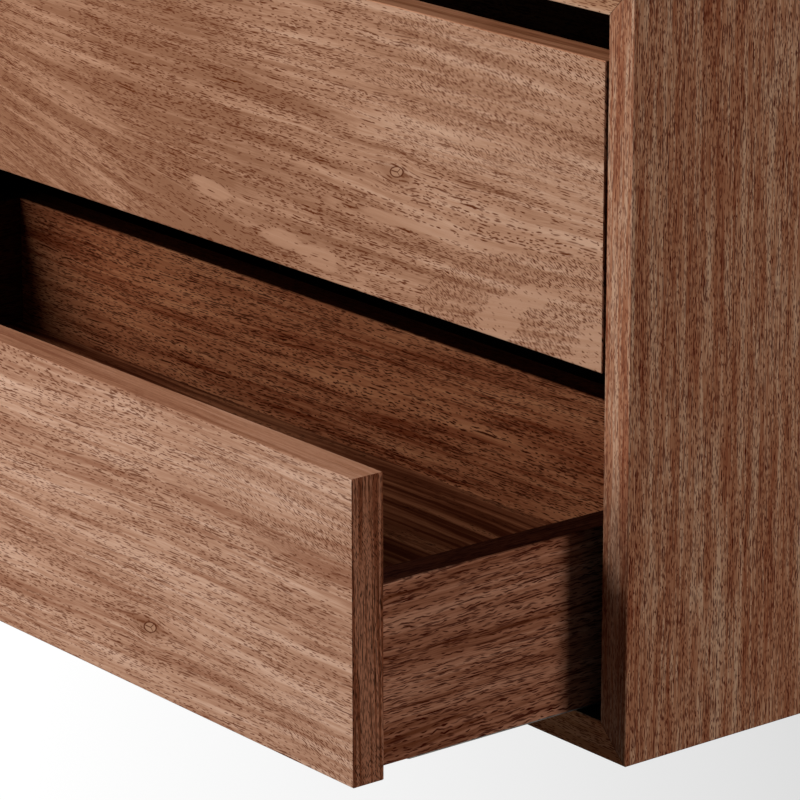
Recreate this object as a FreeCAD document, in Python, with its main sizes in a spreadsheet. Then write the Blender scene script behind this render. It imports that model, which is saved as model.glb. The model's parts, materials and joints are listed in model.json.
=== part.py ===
import FreeCAD, Part
import math
import os

import Sketcher
from FreeCAD import Placement, Rotation, Vector

# A wall-hung chest of two wide drawers in walnut veneer. Its case is mitred at the corners and
# its fronts are inset, flush with the case's front edges. X runs to the right, Y into the case
# and Z up, and the origin is at the middle of the case's underside. Lengths are in millimetres.

sizes = {
    # the case
    "case_width": 815,
    "case_height": 400,
    "case_depth": 360,
    "case_board": 19,
    "eased_edge": 0.5,
    "spline_width": 13,
    "spline_thickness": 3.2,
    "spline_inset": 11,
    "spline_setback": 25,
    "spline_play": 0.3,
    # the back panel, in a groove all round, and the two rails behind it that the wall screws hold
    "back_thickness": 8,
    "back_groove": 6,
    "back_play": 0.4,
    "wall_rail_thickness": 18,
    "wall_rail_height": 60,
    "wall_rail_housing": 5,
    "wall_hole_inset": 68.5,
    "wall_hole_radius": 2.75,
    # the drawer fronts
    "front_thickness": 19,
    "front_gap": 2,
    "finger_gap": 23,
    "lower_drawer_open": 156,
    # the drawer boxes
    "box_board": 19,
    "box_drop": 61,
    "side_lift": 2,
    "side_clearance": 13,
    "rear_clearance": 5,
    "bottom_thickness": 6,
    "bottom_lift": 5.4,
    "bottom_groove": 6,
    "bottom_play": 0.3,
    "tongue_thickness": 6.5,
    "tongue_length": 6,
    "tongue_play": 0.3,
    # the folded steel runners under the drawer boxes
    "gauge": 1.2,
    "bend_radius": 0.8,
    "leg_height": 32,
    "leg_clip": 8,
    "flange_clip": 6,
    "shelf_play": 1.2,
    "web_play": 0.2,
    "guide_play": 0.5,
    "track_width": 25.6,
    "hook_reach": 3.8,
    "hook_play": 1,
    "hook_gap": 0.4,
    "lip_play": 1.5,
    "case_rail_play": 2,
    "case_rail_setback": 5,
    "drawer_rail_play": 0.5,
    "drawer_rail_setback": 2.5,
    # the tabs between which a fully open drawer clamps its roller cages
    "drawer_travel": 210,
    "tab_width": 12,
    "tab_height": 3,
    # the roller cages, which travel at half the drawer's speed
    "cage_length": 73,
    "cage_play": 0.4,
    "bumper_length": 5,
    "bumper_play": 0.4,
    "cage_thickness": 3.6,
    "roller_play": 0.3,
    "roller_length": 16,
    "window_margin": 2.7,
    # screws
    "screw_radius": 1.75,
    "screw_length": 14,
    "screw_play": 0.05,
    "screw_head_radius": 3.4,
    "screw_head_height": 2.2,
    "flat_head_height": 0.8,
    "case_screw_height": 20,
    "screw_end_distance": 24,
    "front_screw_length": 30,
    "front_screw_inset": 76.5,
    "front_screw_edge_distance": 24,
    "bottom_screw_length": 25,
    "bottom_screw_inset": 60,
    # rubber pads that the closed drawers stop against
    "stop_width": 10,
    "stop_inset": 56.5,
    "running_gap": 0.3,
    # how far a cutting shape reaches past the wood that it cuts
    "overrun": 5,
}

drawer_names = ["lower", "upper"]
rollers_per_cage = 4
screws_per_rail = 2
screws_per_bottom = 3
# unit length along a 45 degree line, measured across it
diagonal = math.sqrt(1 / 2)
# the corners of an eight-sided screw and of its pilot hole, as shares of the radius
eight_sides_shares = [(1, 0), (diagonal, diagonal), (0, 1), (-diagonal, diagonal),
                      (-1, 0), (-diagonal, -diagonal), (0, -1), (diagonal, -diagonal)]

doc = FreeCAD.newDocument("DrawerCabinet")
sheet = doc.addObject("Spreadsheet::Sheet", "Sizes")
for row, (name, value) in enumerate(sizes.items(), start=1):
    sheet.set(f"A{row}", name)
    sheet.set(f"B{row}", str(value))
    sheet.setAlias(f"B{row}", name)
doc.recompute()


class Size:
    # a length as an expression of the sheet, with the value that it has now
    def __init__(self, text, value):
        self.text = text
        self.value = value

    def __add__(self, other):
        return combine(self, "+", other, lambda a, b: a + b)

    def __sub__(self, other):
        return combine(self, "-", other, lambda a, b: a - b)

    def __mul__(self, other):
        return combine(self, "*", other, lambda a, b: a * b)

    def __rmul__(self, other):
        return combine(other, "*", self, lambda a, b: a * b)

    def __truediv__(self, other):
        return combine(self, "/", other, lambda a, b: a / b)

    def __neg__(self):
        return combine(0, "-", self, lambda a, b: a - b)


def combine(a, sign, b, work):
    texts = [item.text if isinstance(item, Size) else repr(item) for item in (a, b)]
    values = [item.value if isinstance(item, Size) else item for item in (a, b)]
    return Size(f"({texts[0]} {sign} {texts[1]})", work(*values))


class Sheet:
    # reads the sheet's cells by their aliases: dims.case_width
    def __getattr__(self, name):
        return Size(f"Sizes.{name}", float(sheet.get(name)))


dims = Sheet()
zero = Size("0", 0)

# which way each origin plane's normal points along its axis
plane_normals = {"XY": 1, "XZ": -1, "YZ": 1}


def rectangle(low_x, low_y, high_x, high_y):
    return [(low_x, low_y), (high_x, low_y), (high_x, high_y), (low_x, high_y)]


def new_body(label):
    body = doc.addObject("PartDesign::Body", label)
    body.Label = label
    return body


def new_sketch(body, plane, start):
    # a sketch parallel to one of the body's origin planes, that far along its axis
    sketch = body.newObject("Sketcher::SketchObject", "Sketch")
    support = next(item for item in body.Origin.OriginFeatures if item.Role == f"{plane}_Plane")
    sketch.AttachmentSupport = [(support, "")]
    sketch.MapMode = "FlatFace"
    sketch.setExpression("AttachmentOffset.Base.z", (start * plane_normals[plane]).text)
    return sketch


def sized(name, size, kind, *places):
    # a named constraint and the size that it holds
    constraint = Sketcher.Constraint(kind, *places, size.value)
    constraint.Name = name
    return constraint, size


def pinned(geometry, vertex, point):
    # a point of the sketch tied to two sizes, measured from the sketch's origin
    x, y = point
    return [sized(f"x{geometry}", x, "DistanceX", -1, 1, geometry, vertex),
            sized(f"y{geometry}", y, "DistanceY", -1, 1, geometry, vertex)]


def hold(sketch, pairs):
    # adds sized constraints and binds each to the sheet
    sketch.addConstraint([constraint for constraint, _ in pairs])
    for constraint, size in pairs:
        sketch.setExpression(f"Constraints.{constraint.Name}", size.text)


def draw_outline(sketch, points):
    first = sketch.GeometryCount
    count = len(points)
    corners = [Vector(x.value, y.value, 0) for x, y in points]
    lines = [Part.LineSegment(corners[index], corners[(index + 1) % count]) for index in range(count)]
    sketch.addGeometry(lines)
    sketch.addConstraint([Sketcher.Constraint("Coincident", first + index, 2, first + (index + 1) % count, 1)
                          for index in range(count)])
    pairs = []
    for index, point in enumerate(points):
        pairs += pinned(first + index, 1, point)
    hold(sketch, pairs)


def draw_circles(sketch, centres, radius):
    for centre in centres:
        middle = Vector(centre[0].value, centre[1].value, 0)
        index = sketch.addGeometry(Part.Circle(middle, Vector(0, 0, 1), radius.value))
        hold(sketch, pinned(index, 3, centre) + [sized(f"r{index}", radius, "Radius", index)])


def pad(body, plane, points, start, length):
    # a prism from start, that long towards the positive end of the plane's axis
    sketch = new_sketch(body, plane, start)
    draw_outline(sketch, points)
    feature = body.newObject("PartDesign::Pad", "Pad")
    feature.Profile = sketch
    feature.setExpression("Length", length.text)
    feature.Reversed = plane_normals[plane] < 0
    doc.recompute()
    return feature


def pocket(body, plane, start, length, outlines=(), circles=(), radius=None, forward=True):
    # a cut from start, that long towards the positive end of the axis, or the negative one
    volume = body.Shape.Volume
    sketch = new_sketch(body, plane, start)
    for points in outlines:
        draw_outline(sketch, points)
    if circles:
        draw_circles(sketch, circles, radius)
    feature = body.newObject("PartDesign::Pocket", "Pocket")
    feature.Profile = sketch
    feature.setExpression("Length", length.text)
    feature.Reversed = (plane_normals[plane] > 0) == forward
    doc.recompute()
    if not body.Shape.Volume < volume:
        raise RuntimeError(f"{body.Label}: a pocket cuts nothing")
    return feature


def ease(body, wanted, size=dims.eased_edge):
    # breaks the edges that a hand meets; wanted picks them by their box and direction
    base = body.Tip
    names = []
    for number, edge in enumerate(base.Shape.Edges, start=1):
        if wanted(edge.BoundBox, edge.tangentAt(edge.FirstParameter)):
            names.append(f"Edge{number}")
    feature = body.newObject("PartDesign::Chamfer", "Chamfer")
    feature.Base = (base, names)
    feature.setExpression("Size", size.text)
    doc.recompute()
    return feature


def round_bends(body, places, radius):
    # rounds the edges along Y that stand at the given places of a folded section
    base = body.Tip
    edges = [(number, edge.BoundBox) for number, edge in enumerate(base.Shape.Edges, start=1)
             if abs(edge.tangentAt(edge.FirstParameter).y) > diagonal]
    names = []
    for x, z in places:
        nearest = min(edges, key=lambda pair: math.hypot(pair[1].XMin - x.value, pair[1].ZMin - z.value))
        names.append(f"Edge{nearest[0]}")
    feature = body.newObject("PartDesign::Fillet", "Fillet")
    feature.Base = (base, names)
    feature.setExpression("Radius", radius.text)
    doc.recompute()
    return feature


def pilot_hole(centre, radius):
    # the outline of a screw's hole in wood, which fits the screw's eight sides
    x, y = centre
    return [(x + radius * across, y + radius * up) for across, up in eight_sides_shares]


def put(item, x=zero, y=zero, z=zero):
    for axis, size in (("x", x), ("y", y), ("z", z)):
        item.setExpression(f"Placement.Base.{axis}", size.text)


def group(label, shapes):
    # alike pieces in one node, each a solid of its own
    item = doc.addObject("Part::Feature", label)
    item.Label = label
    item.Shape = Part.makeCompound(shapes)
    return item


def turned_to(shape, at, direction):
    # a copy of a shape made along Z, moved to a point and turned along a direction
    copy = shape.copy()
    place = Vector(*(size.value for size in at))
    copy.Placement = Placement(place, Rotation(Vector(0, 0, 1), Vector(*direction)))
    return copy


def prism(radius, low, high):
    # an eight-sided bar about the Z axis
    points = [Vector(radius * across, radius * up, low) for across, up in eight_sides_shares]
    face = Part.Face(Part.makePolygon(points + points[:1]))
    return face.extrude(Vector(0, 0, high - low))


def screw(head_height, length):
    # a plain head above z = 0 and a plain shank below it
    head = prism(dims.screw_head_radius.value, 0, head_height.value)
    shank = prism(dims.screw_radius.value, -length.value, 0)
    return head.fuse(shank).removeSplitter()


# Places that several pieces share

case_half = dims.case_width / 2
inner_half = case_half - dims.case_board
inner_top = dims.case_height - dims.case_board
front_plane = -dims.case_depth / 2
wall_rail_front = dims.case_depth - dims.wall_rail_thickness
back_front = wall_rail_front - dims.back_thickness
wall_rail_low = [dims.case_board, inner_top - dims.wall_rail_height]
wall_rail_middle = [low + dims.wall_rail_height / 2 for low in wall_rail_low]
wall_hole_x = inner_half - dims.wall_hole_inset
fronts_low = dims.case_board + dims.front_gap
front_height = (inner_top - fronts_low) / len(drawer_names) - dims.finger_gap
drawer_pitch = front_height + dims.finger_gap
drawer_low = [fronts_low + drawer_pitch * index for index in range(len(drawer_names))]
drawer_out = [dims.lower_drawer_open, zero]
screw_hole = dims.screw_radius + dims.screw_play
signs = {"right": 1, "left": -1}

# In a drawer's own frame y = 0 is its front face and z = 0 its front's bottom edge

box_front = dims.front_thickness
box_inside = box_front + dims.box_board
box_end = back_front - dims.rear_clearance
box_length = box_end - box_front
back_inside = box_end - dims.box_board
side_outer = inner_half - dims.side_clearance
side_inner = side_outer - dims.box_board
side_low = dims.side_lift
side_top = front_height - dims.box_drop
bottom_low = side_low + dims.bottom_lift
bottom_top = bottom_low + dims.bottom_thickness


def spline_outline(corner, reach):
    # the loose tongue across one mitre, square to the joint; corner is its outer corner's signs
    across, up = corner
    middle_x = across * (case_half - dims.spline_inset)
    middle_z = dims.case_height / 2 + up * (dims.case_height / 2 - dims.spline_inset)
    along = reach * diagonal
    half = dims.spline_thickness / 2 * diagonal
    points = []
    for side, edge in ((1, 1), (1, -1), (-1, -1), (-1, 1)):
        x = middle_x + across * (side * along + edge * half)
        z = middle_z + up * (edge * half - side * along)
        points.append((x, z))
    return points


corners = [(-1, -1), (1, -1), (1, 1), (-1, 1)]


def spaced(first, last, count):
    return [first + (last - first) * (index / (count - 1)) for index in range(count)]


def rail_screw_places(start, length):
    # the y of the screws along one rail
    first = start + dims.screw_end_distance
    return spaced(first, start + length - dims.screw_end_distance, screws_per_rail)


def make_case():
    width, height, board = case_half, dims.case_height, dims.case_board
    outer = rectangle(-width, zero, width, height)
    inner = rectangle(-inner_half, board, inner_half, inner_top)
    deep, over = dims.back_groove, dims.overrun
    grooves = [
        rectangle(-width, board - deep, width, board + over),
        rectangle(inner_half - over, zero, inner_half + deep, height),
        rectangle(-width, inner_top - over, width, inner_top + deep),
        rectangle(-inner_half - deep, zero, -inner_half + over, height),
    ]
    labels = ["bottom_panel", "side_right", "top_panel", "side_left"]
    spline_reach = dims.spline_width / 2 + dims.spline_play
    spline_length = dims.case_depth - dims.spline_setback
    for index, label in enumerate(labels):
        following = (index + 1) % len(labels)
        body = new_body(label)
        outline = [outer[index], outer[following], inner[following], inner[index]]
        pad(body, "XZ", outline, zero, dims.case_depth)
        # the long edges of the front, not the two mitred ones
        ease(body, lambda box, along: box.YMax < over.value and abs(along.x * along.z) < 0.1)
        pocket(body, "XZ", back_front, dims.back_thickness, [grooves[index]])
        for corner in (corners[index], corners[following]):
            slot = spline_outline(corner, spline_reach)
            pocket(body, "XZ", dims.spline_setback, spline_length + over, [slot])
        if label.startswith("side"):
            cut_side(body, 1 if label == "side_right" else -1)
        put(body, y=front_plane)


def cut_side(body, hand):
    # housings for the wall rails' ends and blind holes for the runner screws
    start = hand * inner_half
    outward = hand > 0
    housings = [rectangle(wall_rail_front, low, dims.case_depth + dims.overrun,
                          low + dims.wall_rail_height) for low in wall_rail_low]
    pocket(body, "YZ", start, dims.wall_rail_housing, housings, forward=outward)
    holes = [pilot_hole((y, low + case_screw_z), screw_hole) for low in drawer_low
             for y in rail_screw_places(case_rail_start, case_rail_length)]
    pocket(body, "YZ", start, dims.screw_length, holes, forward=outward)


def make_splines():
    length = dims.case_depth - dims.spline_setback
    shapes = []
    for corner in corners:
        points = [Vector(x.value, dims.spline_setback.value, z.value)
                  for x, z in spline_outline(corner, dims.spline_width / 2)]
        face = Part.Face(Part.makePolygon(points + points[:1]))
        shapes.append(face.extrude(Vector(0, length.value, 0)))
    put(group("mitre_splines", shapes), y=front_plane)


def make_back():
    reach = dims.back_groove - dims.back_play
    holes = [(sign * wall_hole_x, z) for z in wall_rail_middle for sign in (-1, 1)]
    body = new_body("back_panel")
    outline = rectangle(-inner_half - reach, dims.case_board - reach,
                        inner_half + reach, inner_top + reach)
    pad(body, "XZ", outline, back_front, dims.back_thickness)
    pocket(body, "XZ", back_front, dims.back_thickness, circles=holes,
           radius=dims.wall_hole_radius)
    put(body, y=front_plane)

    rail_half = inner_half + dims.wall_rail_housing - dims.back_play
    for index, label in enumerate(["lower_wall_rail", "upper_wall_rail"]):
        body = new_body(label)
        low = wall_rail_low[index]
        outline = rectangle(-rail_half, low, rail_half, low + dims.wall_rail_height)
        pad(body, "XZ", outline, wall_rail_front, dims.wall_rail_thickness)
        pocket(body, "XZ", wall_rail_front, dims.wall_rail_thickness,
               circles=holes[2 * index:2 * index + 2], radius=dims.wall_hole_radius)
        put(body, y=front_plane)


def make_stops():
    # square rubber pads on the back panel, level with the middle of each drawer's back
    thickness = dims.rear_clearance - dims.running_gap
    width = dims.stop_width
    pads = []
    for low in drawer_low:
        for hand in signs.values():
            x = hand * (side_inner - dims.stop_inset) - width / 2
            z = low + (bottom_top + side_top) / 2 - width / 2
            corner = Vector(x.value, (back_front - thickness).value, z.value)
            pads.append(Part.makeBox(width.value, thickness.value, width.value, corner))
    put(group("stop_pads", pads), y=front_plane)


# The runner's section. Distances are measured inboard from the case side's inner face, and
# heights from a drawer's own z = 0.

def inboard(hand, distance):
    return hand * (inner_half - distance)


web_outer = dims.side_clearance + dims.box_board + dims.bend_radius + dims.web_play
web_inner = web_outer + dims.gauge
guide_outer = web_inner + dims.guide_play
guide_inner = guide_outer + 2 * dims.gauge
track_end = guide_inner + dims.track_width
track_middle = (guide_inner + track_end) / 2
hook_web = track_end + dims.gauge
foot_end = hook_web + dims.hook_reach
upstand = foot_end + dims.hook_play
lip_end = hook_web + dims.lip_play
flange_low = side_low - dims.gauge
shelf_top = flange_low - dims.shelf_play
shelf_low = shelf_top - dims.gauge
foot_low = side_low
foot_top = foot_low + dims.gauge
lip_low = foot_top + dims.hook_gap
lip_top = lip_low + dims.gauge
plate_low = bottom_low - dims.gauge
case_rail_start = box_inside + dims.case_rail_play
case_rail_length = box_end - dims.case_rail_setback - case_rail_start
drawer_rail_start = box_inside + dims.drawer_rail_play
drawer_rail_length = box_end - dims.drawer_rail_setback - drawer_rail_start
drawer_rail_end = drawer_rail_start + drawer_rail_length
case_screw_z = shelf_low + dims.case_screw_height
# a closed drawer's cages lie half the travel behind the case rails' front tabs
cage_start = case_rail_start + dims.gauge + dims.running_gap + dims.drawer_travel / 2
outside_bend = dims.bend_radius + dims.gauge


def folded(label, hand, points, outer, inner, start, length):
    # a rail of bent sheet: its section, and which corners lie outside and inside a bend
    section = [(inboard(hand, distance), height) for distance, height in points]
    body = new_body(label)
    pad(body, "XZ", section, start, length)
    round_bends(body, [section[index] for index in outer], outside_bend)
    round_bends(body, [section[index] for index in inner], dims.bend_radius)
    return body


def tab_outline(hand, low, high):
    # an end tab in the middle of the track
    half = dims.tab_width / 2
    return rectangle(inboard(hand, track_middle + half), low, inboard(hand, track_middle - half), high)


def make_case_rail(label, hand):
    # a leg on the case side, a shelf under the box side, a pinched guide rib and an upstand
    # with a lip
    points = [
        (zero, shelf_low),
        (upstand + dims.gauge, shelf_low),
        (upstand + dims.gauge, lip_top),
        (lip_end, lip_top),
        (lip_end, lip_low),
        (upstand, lip_low),
        (upstand, shelf_top),
        (guide_inner, shelf_top),
        (guide_inner, lip_top),
        (guide_outer, lip_top),
        (guide_outer, shelf_top),
        (dims.gauge, shelf_top),
        (dims.gauge, shelf_low + dims.leg_height),
        (zero, shelf_low + dims.leg_height),
    ]
    body = folded(label, hand, points, [0, 1, 2], range(5, 12), case_rail_start, case_rail_length)
    ease(body, lambda box, along: abs(along.x) > diagonal and box.ZMin > lip_top.value, dims.leg_clip)
    tab = tab_outline(hand, shelf_low, shelf_top + dims.tab_height)
    pad(body, "XZ", tab, case_rail_start, dims.gauge)
    return body


def make_drawer_rail(label, hand):
    # a flange under the box side, a plate under the bottom and a foot that hooks under the lip
    flange_end = dims.side_clearance + dims.gauge
    points = [
        (flange_end, flange_low),
        (web_inner, flange_low),
        (web_inner, plate_low),
        (track_end, plate_low),
        (track_end, foot_low),
        (foot_end, foot_low),
        (foot_end, foot_top),
        (hook_web, foot_top),
        (hook_web, bottom_low),
        (web_outer, bottom_low),
        (web_outer, side_low),
        (flange_end, side_low),
    ]
    body = folded(label, hand, points, [1, 4, 8, 9], [2, 3, 7, 10], drawer_rail_start, drawer_rail_length)
    ease(body, lambda box, along: abs(along.z) > diagonal and abs(box.XMin) > side_inner.value,
         dims.flange_clip)
    tab = tab_outline(hand, plate_low - dims.tab_height, bottom_low)
    pad(body, "XZ", tab, drawer_rail_end - dims.gauge, dims.gauge)
    return body


def make_case_rails(name, low):
    places = rail_screw_places(case_rail_start, case_rail_length)
    screws = []
    for side, hand in signs.items():
        body = make_case_rail(f"{name}_case_rail_{side}", hand)
        holes = [(y, case_screw_z) for y in places]
        pocket(body, "YZ", hand * inner_half, dims.overrun, circles=holes,
               radius=screw_hole, forward=hand < 0)
        put(body, y=front_plane, z=low)
        for y in places:
            at = (inboard(hand, dims.gauge), y, case_screw_z)
            shape = screw(dims.screw_head_height, dims.screw_length)
            screws.append(turned_to(shape, at, (-hand, 0, 0)))
    put(group(f"{name}_case_rail_screws", screws), y=front_plane, z=low)


def flange_screw_x(hand):
    return hand * (side_inner + side_outer) / 2


def make_drawer_rails(name, out, low):
    places = rail_screw_places(drawer_rail_start, drawer_rail_length)
    screws = []
    for side, hand in signs.items():
        body = make_drawer_rail(f"{name}_drawer_rail_{side}", hand)
        holes = [(flange_screw_x(hand), y) for y in places]
        pocket(body, "XY", flange_low, dims.gauge, circles=holes, radius=screw_hole)
        put(body, y=front_plane - out, z=low)
        for y in places:
            at = (flange_screw_x(hand), y, flange_low)
            shape = screw(dims.flat_head_height, dims.screw_length)
            screws.append(turned_to(shape, at, (0, 0, -1)))
    put(group(f"{name}_drawer_rail_screws", screws), y=front_plane - out, z=low)


def make_cages(name, out, low):
    # nylon cages with steel rollers between the shelf and the plate
    gap = plate_low - shelf_top
    middle_z = shelf_top + gap / 2
    radius = gap / 2 - dims.roller_play
    half_window = radius + dims.roller_play
    # the rollers are spaced evenly between the bumpers at the cage's ends
    inset = dims.bumper_length + dims.window_margin + half_window
    places = spaced(cage_start + inset, cage_start + dims.cage_length - inset, rollers_per_cage)
    half_roller = dims.roller_length / 2
    rollers = []
    for side, hand in signs.items():
        body = new_body(f"{name}_roller_cage_{side}")
        low_x = inboard(hand, guide_inner + dims.cage_play)
        high_x = inboard(hand, track_end - dims.cage_play)
        cage_low = middle_z - dims.cage_thickness / 2
        outline = rectangle(low_x, cage_start, high_x, cage_start + dims.cage_length)
        pad(body, "XY", outline, cage_low, dims.cage_thickness)
        # the bumpers meet the rails' tabs
        edge = dims.bend_radius + dims.cage_play
        bumpers = [rectangle(inboard(hand, guide_inner + edge), y, inboard(hand, track_end - edge),
                             y + dims.bumper_length)
                   for y in (cage_start, cage_start + dims.cage_length - dims.bumper_length)]
        for bumper in bumpers:
            pad(body, "XY", bumper, shelf_top + dims.bumper_play, gap - 2 * dims.bumper_play)
        reach = half_roller + dims.roller_play
        centre = inboard(hand, track_middle)
        windows = [rectangle(centre - reach, y - half_window, centre + reach, y + half_window)
                   for y in places]
        pocket(body, "XY", cage_low, dims.cage_thickness, windows)
        put(body, y=front_plane - out / 2, z=low)
        for y in places:
            shape = Part.makeCylinder(radius.value, dims.roller_length.value)
            at = (centre - half_roller, y, middle_z)
            rollers.append(turned_to(shape, at, (1, 0, 0)))
    put(group(f"{name}_rollers", rollers), y=front_plane - out / 2, z=low)


def tongue_span(start):
    # the y where a cross board's tongue begins and ends, in the middle of its thickness
    first = start + (dims.box_board - dims.tongue_thickness) / 2
    return first, first + dims.tongue_thickness


def cross_board_outline(start):
    # seen from above: a board between the sides with a tongue on each end
    end = start + dims.box_board
    first, last = tongue_span(start)
    reach = side_inner + dims.tongue_length - dims.tongue_play
    right = [(side_inner, start), (side_inner, first), (reach, first),
             (reach, last), (side_inner, last), (side_inner, end)]
    left = [(-x, y) for x, y in reversed(right)]
    return right + left


def make_drawer(name, out, low):
    here = {"y": front_plane - out, "z": low}
    front_half = inner_half - dims.front_gap
    screw_x = side_inner - dims.front_screw_inset
    screw_z = [side_low + dims.front_screw_edge_distance,
               side_top - dims.front_screw_edge_distance]
    front_screws = [(hand * screw_x, z) for hand in signs.values() for z in screw_z]
    front_holes = [pilot_hole(place, screw_hole) for place in front_screws]
    bottom_screw_x = side_inner - dims.bottom_screw_inset
    bottom_screws = [(x, (back_inside + box_end) / 2)
                     for x in spaced(-bottom_screw_x, bottom_screw_x, screws_per_bottom)]
    bottom_holes = [pilot_hole(place, screw_hole) for place in bottom_screws]

    body = new_body(f"{name}_front")
    pad(body, "XZ", rectangle(-front_half, zero, front_half, front_height),
        zero, dims.front_thickness)
    ease(body, lambda box, along: True)
    pocket(body, "XZ", box_front, dims.front_screw_length - dims.box_board, front_holes, forward=False)
    put(body, **here)

    # the board that the front is screwed to, and the back, both tongued into the sides
    boards = {"box_front": (box_front, side_low), "box_back": (back_inside, bottom_top)}
    for part, (start, low_z) in boards.items():
        body = new_body(f"{name}_{part}")
        pad(body, "XY", cross_board_outline(start), low_z, side_top - low_z)
        ease(body, lambda box, along: box.ZMin > side_top.value - dims.eased_edge.value
             and box.XLength > side_inner.value)
        if part == "box_front":
            slot = rectangle(-side_inner, bottom_low, side_inner, bottom_top)
            pocket(body, "XZ", box_inside, dims.bottom_groove, [slot], forward=False)
            pocket(body, "XZ", box_front, dims.box_board, front_holes)
        else:
            pocket(body, "XY", low_z, dims.bottom_screw_length - dims.bottom_thickness, bottom_holes)
        put(body, **here)

    rail_screws = rail_screw_places(drawer_rail_start, drawer_rail_length)
    over = dims.overrun
    for side, hand in signs.items():
        body = new_body(f"{name}_box_side_{side}")
        outline = rectangle(hand * side_inner, side_low, hand * side_outer, side_top)
        pad(body, "XZ", outline, box_front, box_length)
        ease(body, lambda box, along: box.ZMin > side_top.value - dims.eased_edge.value
             and abs(along.y) > diagonal)
        slot = rectangle(hand * (side_inner - over), bottom_low,
                         hand * (side_inner + dims.bottom_groove), bottom_top)
        pocket(body, "XZ", box_front, box_length, [slot])
        housings = []
        for start, low_z in boards.values():
            first, last = tongue_span(start)
            housings.append(rectangle(first, low_z, last, side_top + over))
        pocket(body, "YZ", hand * side_inner, dims.tongue_length, housings, forward=hand > 0)
        pocket(body, "XY", side_low, dims.screw_length - dims.gauge,
               [pilot_hole((flange_screw_x(hand), y), screw_hole) for y in rail_screws])
        put(body, **here)

    body = new_body(f"{name}_box_bottom")
    reach = dims.bottom_groove - dims.bottom_play
    outline = rectangle(-side_inner - reach, box_inside - reach, side_inner + reach, box_end)
    pad(body, "XY", outline, bottom_low, dims.bottom_thickness)
    pocket(body, "XY", bottom_low, dims.bottom_thickness, bottom_holes)
    put(body, **here)

    shape = screw(dims.screw_head_height, dims.front_screw_length)
    screws = [turned_to(shape, (x, box_inside, z), (0, 1, 0)) for x, z in front_screws]
    put(group(f"{name}_front_screws", screws), **here)
    shape = screw(dims.flat_head_height, dims.bottom_screw_length)
    screws = [turned_to(shape, (x, y, bottom_low), (0, 0, -1)) for x, y in bottom_screws]
    put(group(f"{name}_bottom_screws", screws), **here)


def check_and_export():
    doc.recompute()
    for item in doc.Objects:
        if {"Invalid", "Error"} & set(item.State):
            raise RuntimeError(f"{item.Label} failed: {item.State}")
    os.makedirs("parts", exist_ok=True)
    pieces = [item for item in doc.Objects
              if item.isDerivedFrom("PartDesign::Body") or item.TypeId == "Part::Feature"]
    for item in pieces:
        if item.Shape.isNull() or not item.Shape.isValid():
            raise RuntimeError(f"{item.Label} has no valid shape")
        item.Shape.exportStep(f"parts/{item.Label}.step")
    print(len(pieces), "sub-parts written")


make_case()
make_splines()
make_back()
make_stops()
for number, drawer_name in enumerate(drawer_names):
    make_case_rails(drawer_name, drawer_low[number])
    make_drawer_rails(drawer_name, drawer_out[number], drawer_low[number])
    make_cages(drawer_name, drawer_out[number], drawer_low[number])
    make_drawer(drawer_name, drawer_out[number], drawer_low[number])
check_and_export()
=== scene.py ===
import json
import math
import bmesh
import bpy
from mathutils import Matrix, Vector


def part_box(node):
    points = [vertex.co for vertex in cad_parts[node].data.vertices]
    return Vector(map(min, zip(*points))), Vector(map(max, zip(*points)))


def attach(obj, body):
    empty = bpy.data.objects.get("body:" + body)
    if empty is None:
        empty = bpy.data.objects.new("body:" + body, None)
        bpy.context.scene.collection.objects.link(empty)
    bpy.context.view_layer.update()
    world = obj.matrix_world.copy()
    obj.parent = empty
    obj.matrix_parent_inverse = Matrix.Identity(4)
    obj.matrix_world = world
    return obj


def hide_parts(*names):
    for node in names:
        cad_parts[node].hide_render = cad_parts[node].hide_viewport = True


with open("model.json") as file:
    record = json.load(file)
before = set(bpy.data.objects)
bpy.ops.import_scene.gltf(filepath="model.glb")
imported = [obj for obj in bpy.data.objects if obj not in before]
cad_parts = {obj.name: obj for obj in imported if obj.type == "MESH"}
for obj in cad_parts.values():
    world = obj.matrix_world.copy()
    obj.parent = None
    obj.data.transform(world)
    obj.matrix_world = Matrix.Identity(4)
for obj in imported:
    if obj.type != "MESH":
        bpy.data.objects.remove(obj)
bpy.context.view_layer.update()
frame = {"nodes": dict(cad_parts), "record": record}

nodes = frame["nodes"]
bodyOf = {node: body for body, group in frame["record"]["behaviour"]["bodies"].items() for node in group}
slotOf = {part["node"]: part["material_slot"] for part in frame["record"]["subparts"]}
mm = 0.001
mmPerMetre = 1000
alongX, alongY, alongZ = 0, 1, 2

strokeLook = {  # one short stroke of a pore, in shares of the cell of the veneer that it lies in
    "slide": 9,  # how far chance moves a row of cells along
    "leastReach": 0.13,  # half of its length, and what chance adds to that
    "moreReach": 0.3,
    "leastSide": 0.32,  # how far across the cell it lies, and what chance adds
    "moreSide": 0.36,
    "halfWidth": 0.3,
    "blunt": 0.9,
    "rim": (0.15, 1.1),
    "appear": (0.0, 0.12),
    "faintest": 0.6,
}


def shade(red, green, blue):  # a colour as a screen shows it, 0 to 255, for a shader
    def linear(level):
        level /= 255
        return level / 12.92 if level <= 0.04045 else ((level + 0.055) / 1.055) ** 2.4
    return (linear(red), linear(green), linear(blue), 1.0)


def mixShades(first, second, amount):
    return tuple(a + (b - a) * amount for a, b in zip(first, second))


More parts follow.
